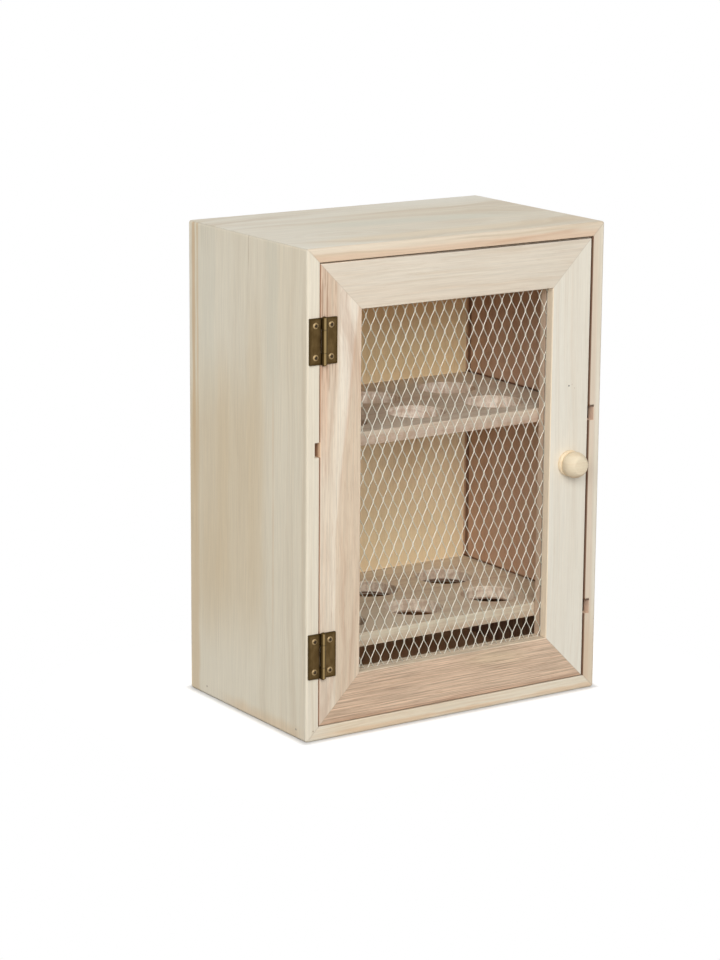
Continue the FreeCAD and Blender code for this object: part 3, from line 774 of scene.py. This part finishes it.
def upper_shelf():
    """Greyish pink wood, with painted shade and light on its front rim."""
    bottom = extent("upper_shelf", "Z")[0]
    areas = shelf_rim((bottom + 4.7, bottom + 19.5), (186, 160, 138), (214, 199, 178))
    return Board(
        axes="XYZ", pale=(226, 212, 193), tan=(218, 199, 177), line=PINK_LINE, seed=9,
        pith=(30.0, 20.0), grain=(80.0, 2.0), lines=0.35, flecks=0.05, pores=0.2,
        edge=(250, 234, 220), areas=areas)


def hole_feet(row, span, tone, share):
    """Painted shade low in the walls of a row of egg holes."""
    return patch("XZ", WHOLE_WIDTH, span, tone, share, soft=(1.0, 0.8), waver=0.3, slab=row)


def lower_shelf():
    """Wood like the upper shelf's, with painted shade at the feet of the egg holes, darkest in the rear row.
    """
    bottom = extent("lower_shelf", "Z")[0]
    rear_row = (5.0, 55.0)
    front_row = (-45.0, 5.0)
    areas = (
        hole_feet(rear_row, (bottom + 0.4, bottom + 1.8), (76, 46, 30), 0.9),
        hole_feet(front_row, (bottom - 0.2, bottom + 1.2), (140, 104, 80), 0.7),
        *shelf_rim((bottom + 4.1, bottom + 19.5), (190, 170, 145), (221, 211, 188)),
    )
    return Board(
        axes="XYZ", pale=(228, 214, 192), tan=(219, 200, 175), line=PINK_LINE, seed=10,
        pith=(-30.0, -60.0), grain=(80.0, 2.0), lines=0.35, flecks=0.05, pores=0.2,
        edge=(248, 230, 210), areas=areas)


def back_band(span, tone, share, fade, waver):
    """A band of another tone across the inner face of the back: painted light where lighter, painted shade
    where darker.
    """
    inner = (BACK_FACE - 0.5, BACK_FACE + 1.0)
    return patch("XZ", WHOLE_WIDTH, span, tone, share, soft=(2.0, fade), waver=waver, slab=inner)


def back_panel():
    """Golden plywood, with painted shade near the top and in the bottom compartment, and painted light above
    and below the upper shelf.
    """
    areas = (
        # Painted shade near the top
        back_band((210.0, 290.0), (255, 196, 126), 0.75, fade=60.0, waver=3.0),
        # Painted light above and below the upper shelf
        back_band((160.0, 196.0), (255, 229, 182), 0.95, fade=36.0, waver=3.0),
        back_band((94.0, 162.0), (255, 232, 196), 0.6, fade=40.0, waver=3.0),
        # Painted shade in the bottom compartment
        back_band((-6.0, 46.0), (150, 104, 62), 0.95, fade=12.0, waver=0.0),
    )
    return Board(
        axes="ZXY", pale=(246, 226, 188), tan=(240, 216, 174), line=(212, 176, 128), seed=11,
        pith=(30.0, 400.0), grain=(160.0, 5.0), sway=9.0, lines=0.25, pores=0.1, areas=areas)


def knob():
    """Smooth turned wood, with warm painted shade underneath and painted light on its collar."""
    areas = (
        # Painted shade, warm in tone, under the knob
        patch("XZ", (66.0, 84.0), (126.4, 131.6), (222, 182, 144), 0.5, soft=(8.0, 4.0), waver=0.6),
        # Painted light on the collar
        patch("YZ", (FRONT - 2.9, FRONT + 0.1), WHOLE_HEIGHT, (248, 226, 192), 0.6, soft=(0.6, 2.0)),
    )
    return Board(
        axes="YXZ", pale=(235, 221, 194), tan=(229, 211, 181), line=(208, 174, 132), seed=12,
        pith=(77.5, 100.0), grain=(60.0, 1.6), sway=2.0, fibre=0.03, pores=0.04, areas=areas)


BOARDS = {
    "left_side_panel": left_side_panel(),
    "right_side_panel": right_side_panel(),
    "top_panel": top_panel(),
    "bottom_panel": bottom_panel(),
    "hinge_stile": hinge_stile(),
    "latch_stile": latch_stile(),
    "door_top_rail": door_top_rail(),
    "door_bottom_rail": door_bottom_rail(),
    "upper_shelf": upper_shelf(),
    "lower_shelf": lower_shelf(),
    "back_panel": back_panel(),
    "knob": knob(),
}


def tarnish(nodes, place, tones):
    """Clouded brass with faint rubbing marks: its colour, its clouds and its marks."""
    cloud = layer(nodes, place, BRASS_CLOUD)
    rub = layer(nodes, place, BRASS_RUB)
    clouded = nodes.fade(cloud, *BRASS_CLOUD.span, 0.0, CLOUD_SHARE)
    share = nodes.math("MULTIPLY_ADD", nodes.fade(rub, *BRASS_RUB.span), RUB_SHARE, clouded)
    dark, worn = tones
    return nodes.mix(share, linear(dark), linear(worn)), cloud, rub


def brass_surface(nodes, colour, cloud, rub, roughness=BRASS_ROUGHNESS, metal=1.0):
    """Ends a brass material, rougher in its clouds and marked where it was rubbed."""
    nodes.principled({
        "Base Color": colour,
        "Metallic": metal,
        "Roughness": nodes.fade(cloud, *ROUGH_SPAN, *roughness),
        "Normal": nodes.bump(rub, *BRASS_BUMP),
    })


def hinge_axis(node):
    """Middle of the pin of the hinge that a node belongs to, in millimetres."""
    low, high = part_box(node.split("_hinge")[0] + "_hinge_pin")
    return (low + high) / 2 / MM


def border_depth(nodes, node, axis, up, right):
    """How far a point of a hinge leaf is inside the leaf's ends and its outer edge."""
    left_end, right_end = extent(node, "X")
    bottom, top = extent(node, "Z")
    outer = max(axis.x - left_end, right_end - axis.x)
    from_ends = nodes.math("SUBTRACT", (top - bottom) / 2, apart(nodes, up, axis.z))
    from_edge = nodes.math("SUBTRACT", outer, nodes.math("ABSOLUTE", right))
    return nodes.math("MINIMUM", from_ends, from_edge)


def leaf_brass(node):
    """Darkened brass of a hinge leaf: a painted highlight down the barrel, painted shade on the barrel
    beside it, darker borders.
    """
    material = bpy.data.materials.new(node + "_brass")
    nodes = Nodes(material)
    place = places(nodes, "ZXY")
    colour, cloud, rub = tarnish(nodes, place, LEAF_TONES)
    axis = hinge_axis(node)
    right = nodes.math("SUBTRACT", place[1], axis.x)
    deep = nodes.math("SUBTRACT", place[2], axis.y)
    border = nodes.fade(border_depth(nodes, node, axis, place[0], right), *BORDER_SPAN, BORDER_SHARE, 0.0)
    colour = nodes.mix(border, colour, linear(BRASS_SHADE))
    # Painted shade over the barrel
    barrel = nodes.fade(distance(nodes, right, deep), *BARREL_SHADE_SPAN, BARREL_SHADE_SHARE, 0.0)
    colour = nodes.mix(barrel, colour, linear(BRASS_SHADE))
    # Painted highlight: a bright line down the side of the barrel turned by the angle about the pin
    forward = nodes.math("MULTIPLY", deep, -math.cos(BARREL_HIGHLIGHT_ANGLE))
    forward = nodes.math("MULTIPLY_ADD", right, math.sin(BARREL_HIGHLIGHT_ANGLE), forward)
    colour = nodes.mix(nodes.fade(forward, *BARREL_HIGHLIGHT_SPAN), colour, linear(BARREL_HIGHLIGHT_TONE))
    brass_surface(nodes, colour, cloud, rub)
    return material


def screw_brass(node):
    """Brass heads of a leaf's two screws, one above the other: a rubbed ring, with painted shade in the
    cross recess and at the head's edge.
    """
    material = bpy.data.materials.new(node + "_brass")
    nodes = Nodes(material)
    place = places(nodes, "ZXY")
    rubbed, cloud, rub = tarnish(nodes, place, SCREW_TONES)
    left, right = extent(node, "X")
    bottom, top = extent(node, "Z")
    radius = (right - left) / 2
    up = nodes.math("SUBTRACT", apart(nodes, place[0], (bottom + top) / 2), (top - bottom) / 2 - radius)
    away = distance(nodes, up, nodes.math("SUBTRACT", place[1], (left + right) / 2))
    # Painted shade in the cross recess and at the head's outer edge
    past_recess = nodes.fade(away, *[share * radius for share in RECESS_SPAN])
    within_rim = nodes.fade(away, *[share * radius for share in RIM_SPAN], 1.0, RIM_SHARE)
    colour = nodes.mix(nodes.math("MULTIPLY", past_recess, within_rim), linear(RECESS_TONE), rubbed)
    brass_surface(nodes, colour, cloud, rub, SCREW_ROUGHNESS, SCREW_METAL)
    return material


def pin_brass():
    """Dull brass of the hinge pins."""
    material = bpy.data.materials.new("pin_brass")
    nodes = Nodes(material)
    brass_surface(nodes, *tarnish(nodes, places(nodes, "ZXY"), PIN_TONES))
    return material


def plated_steel():
    """Plain zinc-plated steel with a cloudy surface."""
    material = bpy.data.materials.new("plated_steel")
    nodes = Nodes(material)
    cloud = layer(nodes, places(nodes, "XYZ"), STEEL_CLOUD)
    bright, dull = STEEL_TONES
    nodes.principled({
        "Base Color": nodes.mix(nodes.fade(cloud, *STEEL_CLOUD.span), linear(bright), linear(dull)),
        "Metallic": 1.0,
        "Roughness": nodes.fade(cloud, *ROUGH_SPAN, *STEEL_ROUGHNESS),
    })
    return material


def mesh_coating():
    """Pale dull coating of the expanded mesh, greyer in places, with painted light where it faces up and
    painted shade where it faces down.
    """
    material = bpy.data.materials.new("mesh_coating")
    nodes = Nodes(material)
    place = places(nodes, "XYZ")
    cloud = nodes.fade(layer(nodes, place, COATING_CLOUD), *COATING_CLOUD.span)
    grit = layer(nodes, place, COATING_GRIT)
    bright = nodes.mix(cloud, *[linear(tone) for tone in COATING_LIT_TONES])
    dull = nodes.mix(cloud, *[linear(tone) for tone in COATING_SHADED_TONES])
    nodes.principled({
        # Painted light and shade by which way a face turns: the lit tones up, the shaded tones down
        "Base Color": nodes.mix(nodes.fade(upward(nodes), *COATING_LIGHT_TURN), dull, bright),
        "Roughness": nodes.fade(grit, *ROUGH_SPAN, *COATING_ROUGHNESS),
        "Normal": nodes.bump(grit, *COATING_BUMP),
    })
    return material


def link(name, data):
    """A new object in the scene."""
    made = bpy.data.objects.new(name, data)
    bpy.context.scene.collection.objects.link(made)
    return made


def strip_numbers(span_x, lean):
    """Numbers of the zigzag strips that reach into a span of x, when they lean over by so much."""
    first = math.floor((span_x[0] - lean - MESH_PHASE[0]) / MESH_STEP)
    last = math.ceil((span_x[1] + lean - MESH_PHASE[0]) / MESH_STEP)
    return range(first, last + 1)


def row_numbers(span_z):
    """Numbers of the rows of bonds in a span of z, with one more at each end."""
    first = math.floor((span_z[0] - MESH_PHASE[1]) / MESH_ROW)
    last = math.ceil((span_z[1] - MESH_PHASE[1]) / MESH_ROW)
    return range(first - 1, last + 2)


def bond_shifts(strips, rows):
    """Small uneven shifts of every bond in x and z."""
    random.seed(MESH_SEED)
    shifts = {}
    for bond in range(strips[0] - 1, strips[-1] + 1):
        for row in rows:
            shift_x = random.uniform(-MESH_JITTER, MESH_JITTER)
            shift_z = random.uniform(-MESH_JITTER, MESH_JITTER)
            shifts[(bond, row)] = (shift_x, shift_z)
    return shifts


def strip_path(strip, rows, shifts):
    """Middle line of one zigzag strip, upwards through its bonds with the strips to its right and left."""
    half = MESH_WIDTH / 2
    path = []
    for row in rows:
        to_right = (strip + row) % 2 == 0
        bond = strip if to_right else strip - 1
        side = -1 if to_right else 1
        shift_x, shift_z = shifts[(bond, row)]
        across = MESH_PHASE[0] + bond * MESH_STEP + side * half * math.cos(MESH_TILT) + shift_x
        depth = MESH_MIDDLE - side * half * math.sin(MESH_TILT)
        height = MESH_PHASE[1] + row * MESH_ROW + shift_z
        for z in (height - MESH_BOND / 2, height + MESH_BOND / 2):
            path.append(Vector((across - MESH_LEAN * (z - MESH_PHASE[1]), depth, z)))
    return path


def trimmed(path, low, high):
    """Part of an upward path between two heights."""
    kept = []
    for here, after in zip(path, path[1:]):
        for limit in (low, high):
            if here.z < limit < after.z:
                kept.append(here.lerp(after, (limit - here.z) / (after.z - here.z)))
        if low <= after.z <= high:
            kept.append(after)
    return kept


def runs_between(path, low, high):
    """Unbroken stretches of a path between two values of x."""
    runs = [[]]
    for point in path:
        if low <= point.x <= high:
            runs[-1].append(point)
        elif runs[-1]:
            runs.append([])
    return [run for run in runs if len(run) > 1]


def section():
    """Chamfered rectangle of a strip's cross-section, as width and thickness offsets."""
    wide, thick, cut = MESH_WIDTH / 2, MESH_SHEET / 2, MESH_CHAMFER
    right = [(wide - cut, -thick), (wide, cut - thick), (wide, thick - cut), (wide - cut, thick)]
    left = [(-across, -through) for across, through in right]
    return right + left


def sweep(path, vertices, faces):
    """Adds a closed strip that follows a path, its flat side turned the way that the mesh faces."""
    ring = section()
    count = len(ring)
    start = len(vertices)
    for index, here in enumerate(path):
        before = path[max(index - 1, 0)]
        after = path[min(index + 1, len(path) - 1)]
        tangent = (after - before).normalized()
        normal = (MESH_FACING - MESH_FACING.dot(tangent) * tangent).normalized()
        side = tangent.cross(normal)
        vertices += [here + side * across + normal * through for across, through in ring]
    last = len(vertices) - count
    for first in range(start, last, count):
        for corner in range(count):
            beside = (corner + 1) % count
            faces.append((first + corner, first + beside, first + count + beside, first + count + corner))
    faces.append(tuple(range(start + count - 1, start - 1, -1)))
    faces.append(tuple(range(last, last + count)))


def expanded_mesh():
    """Expanded metal: zigzag strips that meet in tilted bonds, standing in the door's groove."""
    span_x = extent("wire_mesh", "X")
    span_z = extent("wire_mesh", "Z")
    strips = strip_numbers(span_x, MESH_LEAN * (span_z[1] - span_z[0]))
    rows = row_numbers(span_z)
    shifts = bond_shifts(strips, rows)
    vertices, faces = [], []
    for strip in strips:
        path = trimmed(strip_path(strip, rows, shifts), *span_z)
        for run in runs_between(path, span_x[0] + MESH_WIDTH, span_x[1] - MESH_WIDTH):
            sweep(run, vertices, faces)
    data = bpy.data.meshes.new("expanded_mesh")
    data.from_pydata([vertex * MM for vertex in vertices], [], faces)
    data.validate()
    data.materials.append(mesh_coating())
    piece = link("expanded_mesh", data)
    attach(piece, "door")
    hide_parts("wire_mesh")


def paint(node, material):
    """Gives a construction node its finish."""
    data = frame["nodes"][node].data
    data.materials.clear()
    data.materials.append(material)


def soften(node):
    """Small bevel that lets a hard edge catch the light."""
    bevel = frame["nodes"][node].modifiers.new("soft_edges", "BEVEL")
    bevel.width = LEAF_BEVEL * MM
    bevel.segments = BEVEL_SEGMENTS
    bevel.limit_method = "ANGLE"
    bevel.angle_limit = BEVEL_ANGLE


def finish_nodes():
    """Wood, brass or steel for every node of the construction."""
    pin = pin_brass()
    plated = plated_steel()
    for node in frame["nodes"]:
        if node in BOARDS:
            paint(node, wood(node, BOARDS[node]))
        elif node.endswith("leaf"):
            paint(node, leaf_brass(node))
            soften(node)
        elif node.endswith("pin"):
            paint(node, pin)
        elif "hinge" in node:
            paint(node, screw_brass(node))
        else:
            paint(node, plated)


def shown(nodes):
    """1 for rays that see the background: from the camera, reflections and clear surfaces."""
    path = nodes.add("LightPath")
    sees = [path.outputs[name] for name in ("Is Camera Ray", "Is Glossy Ray", "Is Transmission Ray")]
    return nodes.math("MAXIMUM", nodes.math("MAXIMUM", sees[0], sees[1]), sees[2])


def joined(nodes, kind, first, second, values=None):
    """Two shaders joined by a mix or a sum, whose last two inputs they feed."""
    node = nodes.add(kind, values)
    nodes.feed(node.inputs[-2], first.outputs[0])
    nodes.feed(node.inputs[-1], second.outputs[0])
    return node


def beyond_foot(nodes):
    """How far a place on the floor is outside the cupboard's foot, in metres."""
    place = nodes.add("SeparateXYZ", {"Vector": nodes.add("TexCoord").outputs["Object"]})
    offsets = []
    for axis, edge in zip("XY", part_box("right_side_panel")[1]):
        off = nodes.math("SUBTRACT", nodes.math("ABSOLUTE", place.outputs[axis]), edge)
        offsets.append(nodes.math("MAXIMUM", off, 0.0))
    return distance(nodes, *offsets)


def floor_material():
    """Pale floor that takes the cupboard's shadow, shown as white further off."""
    material = bpy.data.materials.new("floor")
    nodes = Nodes(material)
    away = beyond_foot(nodes)
    bounce = nodes.add("BsdfDiffuse", {"Color": linear(FLOOR_TONE)})
    shade = nodes.add("BsdfDiffuse", {"Color": (FLOOR_SHADE, FLOOR_SHADE, FLOOR_SHADE, 1.0)})
    glow = nodes.add("Emission", {"Strength": nodes.fade(away, *CONTACT_REACH, 0.0, FLOOR_GLOW)})
    near = joined(nodes, "AddShader", shade, glow)
    white = nodes.add("Emission", {"Strength": 1.0})
    seen = joined(nodes, "MixShader", near, white, {"Fac": nodes.fade(away, *SHADOW_REACH)})
    nodes.surface(joined(nodes, "MixShader", bounce, seen, {"Fac": shown(nodes)}))
    return material


def floor():
    """Plain pale floor, which isn't part of the object."""
    half = FLOOR_SIZE / 2
    corners = [(-half, -half, 0), (half, -half, 0), (half, half, 0), (-half, half, 0)]
    data = bpy.data.meshes.new("floor")
    data.from_pydata(corners, [], [(0, 1, 2, 3)])
    data.materials.append(floor_material())
    piece = link("floor", data)


def world():
    """Soft light from all around, and a white background."""
    made = bpy.data.worlds.new("studio")
    bpy.context.scene.world = made
    nodes = Nodes(made)
    strength = nodes.fade(shown(nodes), 0.0, 1.0, AMBIENT, 1.0)
    sky = nodes.add("Background", {"Color": (1, 1, 1, 1), "Strength": strength})
    nodes.add("OutputWorld", {"Surface": sky.outputs[0]})


def lights():
    """The lamps, all turned to the cupboard."""
    for lamp in LAMPS:
        data = bpy.data.lights.new(lamp.name, "AREA")
        data.shape = "RECTANGLE"
        data.size, data.size_y = lamp.size
        data.energy = lamp.power
        made = link(lamp.name, data)
        made.location = lamp.place
        made.rotation_euler = (LAMP_TARGET - Vector(lamp.place)).to_track_quat("-Z", "Y").to_euler()
        made.visible_glossy = lamp.in_reflections


def camera():
    """View of the cupboard from the left, a little above it."""
    low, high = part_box("left_side_panel")[0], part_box("right_side_panel")[1]
    middle = (low + high) / 2
    azimuth, elevation = CAMERA_AZIMUTH, CAMERA_ELEVATION
    out = math.cos(elevation)
    back = Vector((math.sin(azimuth) * out, -math.cos(azimuth) * out, math.sin(elevation)))
    level = Vector((0, 0, 1)).cross(back).normalized()
    upright = back.cross(level)
    right = math.cos(CAMERA_ROLL) * level + math.sin(CAMERA_ROLL) * upright
    up = math.cos(CAMERA_ROLL) * upright - math.sin(CAMERA_ROLL) * level
    place = middle - MIDDLE_RIGHT * right + MIDDLE_DOWN * up + CAMERA_DISTANCE * back
    data = bpy.data.cameras.new("camera")
    data.lens = LENS
    data.sensor_width = SENSOR
    view = link("camera", data)
    view.matrix_world = Matrix.Translation(place) @ Matrix((right, up, back)).transposed().to_4x4()
    bpy.context.scene.camera = view


finish_nodes()
expanded_mesh()
floor()
world()
lights()
camera()
bpy.context.scene.view_settings.view_transform = "Standard"
